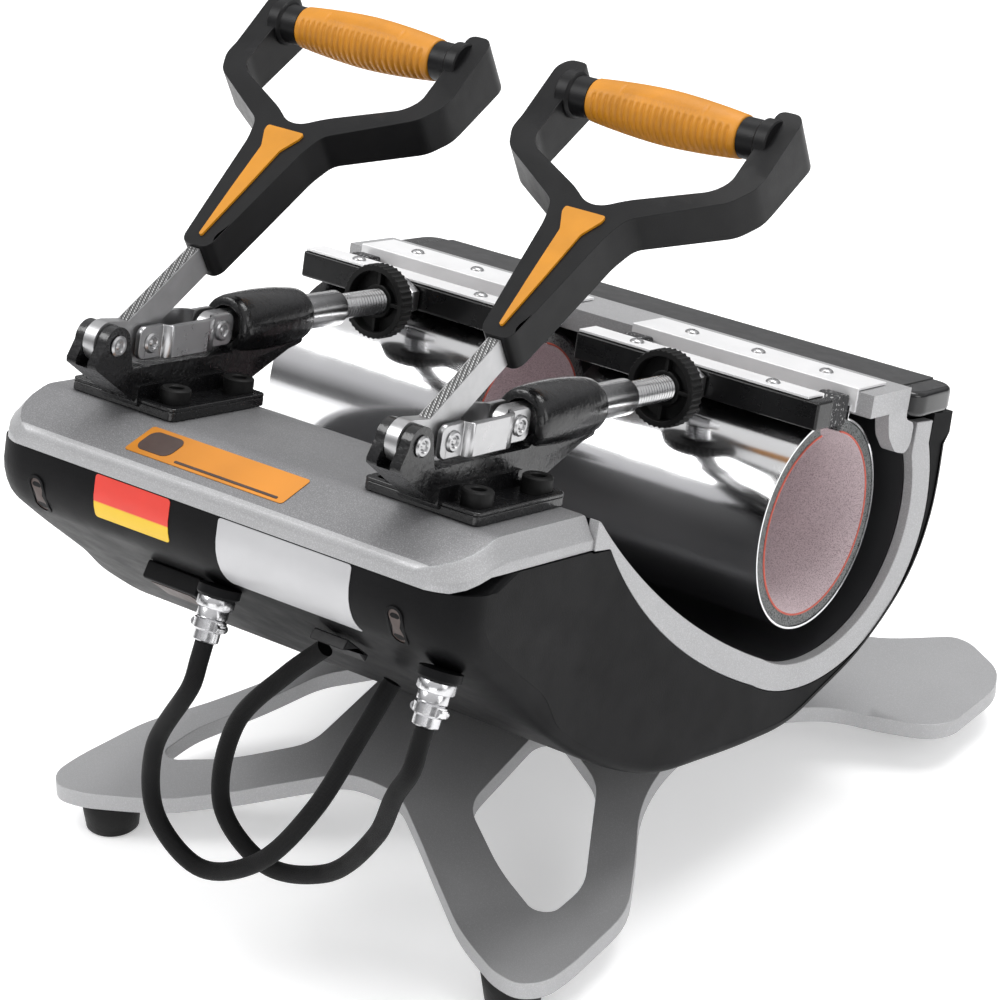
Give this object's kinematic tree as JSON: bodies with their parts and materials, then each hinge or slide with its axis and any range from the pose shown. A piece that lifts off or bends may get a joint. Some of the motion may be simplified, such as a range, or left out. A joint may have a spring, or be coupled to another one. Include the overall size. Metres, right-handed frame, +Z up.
{
  "type": "mug heat press",
  "caption": "Benchtop heat press for mugs, with side by side heater bands in a tilted trough, each closed by a toggle clamp with a forked handle, on a splayed stand.",
  "frame": {"origin": "middle of the object's footprint, on the surface it stands on", "axes": "+Z up, +X along the heaters to the right as seen from the handles' pivots, +Y towards the user's side"},
  "size_m": [0.336, 0.4147, 0.3529],
  "materials": {
    "silver_paint": "metallic silver paint, satin",
    "deck_paint": "metallic silver paint, satin",
    "black_plastic": "fine grained black",
    "gloss_black": "glossy black",
    "black_casting": "glossy black enamel on a rough casting",
    "black_bar": "black, satin",
    "steel": "bright drawn steel",
    "mirror_sheet": "polished stainless sheet",
    "liner_sheet": "polished dark sheet",
    "foam": "grey speckled silicone sponge",
    "orange_rubber": "soft orange rubber",
    "orange_plastic": "orange insert",
    "rubber": "black rubber",
    "chrome": "nickel plated",
    "board": "green circuit board",
    "braid": "black braided sleeve"
  },
  "bodies": {
    "machine": {"base_frame": "silver_paint", "rubber_foot_1": "rubber", "rubber_foot_2": "rubber", "rubber_foot_3": "rubber", "rubber_foot_4": "rubber", "lower_housing": "black_plastic", "deck_cover": "deck_paint", "tub_liner": "liner_sheet", "end_trim_left": "silver_paint", "end_trim_right": "silver_paint", "front_wall": "black_plastic", "control_panel_left": "gloss_black", "control_panel_right": "gloss_black", "top_cap": "gloss_black", "fixed_rail": "silver_paint", "control_board": "board", "power_inlet": "black_plastic", "lead_plug_1": "chrome", "lead_plug_2": "chrome", "heater_lead_1": "braid", "heater_lead_2": "braid", "heater_shell_rear_1": "mirror_sheet", "heater_pad_rear_1": "foam", "fixed_strip_1": "steel", "clamp_base_1": "black_casting", "pivot_pin_1": "steel", "heater_shell_rear_2": "mirror_sheet", "heater_pad_rear_2": "foam", "fixed_strip_2": "steel", "clamp_base_2": "black_casting", "pivot_pin_2": "steel"},
    "handle_1": {"handle_bar_1": "steel", "handle_fork_1": "black_plastic", "handle_inlay_1": "orange_plastic", "grip_sleeve_1": "orange_rubber", "link_pin_1": "steel"},
    "link_1": {"link_plate_a_1": "steel", "link_plate_b_1": "steel"},
    "plunger_rod_1": {"plunger_1": "steel", "moving_bar_1": "black_bar", "moving_strip_1": "steel"},
    "wheel_1": {"adjuster_wheel_1": "rubber"},
    "heater_front_1": {"heater_shell_front_1": "mirror_sheet", "heater_pad_front_1": "foam"},
    "handle_2": {"handle_bar_2": "steel", "handle_fork_2": "black_plastic", "handle_inlay_2": "orange_plastic", "grip_sleeve_2": "orange_rubber", "link_pin_2": "steel"},
    "link_2": {"link_plate_a_2": "steel", "link_plate_b_2": "steel"},
    "plunger_rod_2": {"plunger_2": "steel", "moving_bar_2": "black_bar", "moving_strip_2": "steel"},
    "wheel_2": {"adjuster_wheel_2": "rubber"},
    "heater_front_2": {"heater_shell_front_2": "mirror_sheet", "heater_pad_front_2": "foam"},
    "rocker": {"power_rocker": "black_plastic"}
  },
  "joints": [
    {"name": "handle_hinge_1", "type": "hinge", "parent": "machine", "child": "handle_1", "pos_m": [-0.0798, -0.17305, 0.26103], "axis": [1, 0, 0], "range_deg": [0, 90]},
    {"name": "link_hinge_1", "type": "hinge", "parent": "handle_1", "child": "link_1", "pos_m": [-0.0798, -0.15102, 0.25424], "axis": [1, 0, 0], "range_deg": [-126, 0]},
    {"name": "plunger_slide_1", "type": "slide", "parent": "machine", "child": "plunger_rod_1", "axis": [0, -0.9728, 0.2317], "range_m": [0, 0.0287]},
    {"name": "wheel_spin_1", "type": "hinge", "parent": "plunger_rod_1", "child": "wheel_1", "pos_m": [-0.0798, 0.00809, 0.21705], "axis": [0, 0.9728, -0.2317], "continuous": true},
    {"name": "heater_hinge_1", "type": "hinge", "parent": "machine", "child": "heater_front_1", "pos_m": [-0.0798, 0.0327, 0.10633], "axis": [1, 0, 0], "range_deg": [0, 16]},
    {"name": "handle_hinge_2", "type": "hinge", "parent": "machine", "child": "handle_2", "pos_m": [0.0798, -0.17305, 0.26103], "axis": [1, 0, 0], "range_deg": [0, 90]},
    {"name": "link_hinge_2", "type": "hinge", "parent": "handle_2", "child": "link_2", "pos_m": [0.0798, -0.15102, 0.25424], "axis": [1, 0, 0], "range_deg": [-126, 0]},
    {"name": "plunger_slide_2", "type": "slide", "parent": "machine", "child": "plunger_rod_2", "axis": [0, -0.9728, 0.2317], "range_m": [0, 0.0287]},
    {"name": "wheel_spin_2", "type": "hinge", "parent": "plunger_rod_2", "child": "wheel_2", "pos_m": [0.0798, 0.00809, 0.21705], "axis": [0, 0.9728, -0.2317], "continuous": true},
    {"name": "heater_hinge_2", "type": "hinge", "parent": "machine", "child": "heater_front_2", "pos_m": [0.0798, 0.0327, 0.10633], "axis": [1, 0, 0], "range_deg": [0, 16]},
    {"name": "rocker_tilt", "type": "hinge", "parent": "machine", "child": "rocker", "pos_m": [0.051, -0.17934, 0.16557], "axis": [1, 0, 0], "range_deg": [-10, 0]}
  ],
  "couplings": [
    {"joint": "link_hinge_1", "follows": "handle_hinge_1", "ratio": -1.3646},
    {"joint": "plunger_slide_1", "follows": "handle_hinge_1", "m_per_rad": 0.018016},
    {"joint": "heater_hinge_1", "follows": "handle_hinge_1", "ratio": 0.171},
    {"joint": "link_hinge_2", "follows": "handle_hinge_2", "ratio": -1.3646},
    {"joint": "plunger_slide_2", "follows": "handle_hinge_2", "m_per_rad": 0.018016},
    {"joint": "heater_hinge_2", "follows": "handle_hinge_2", "ratio": 0.171}
  ]
}
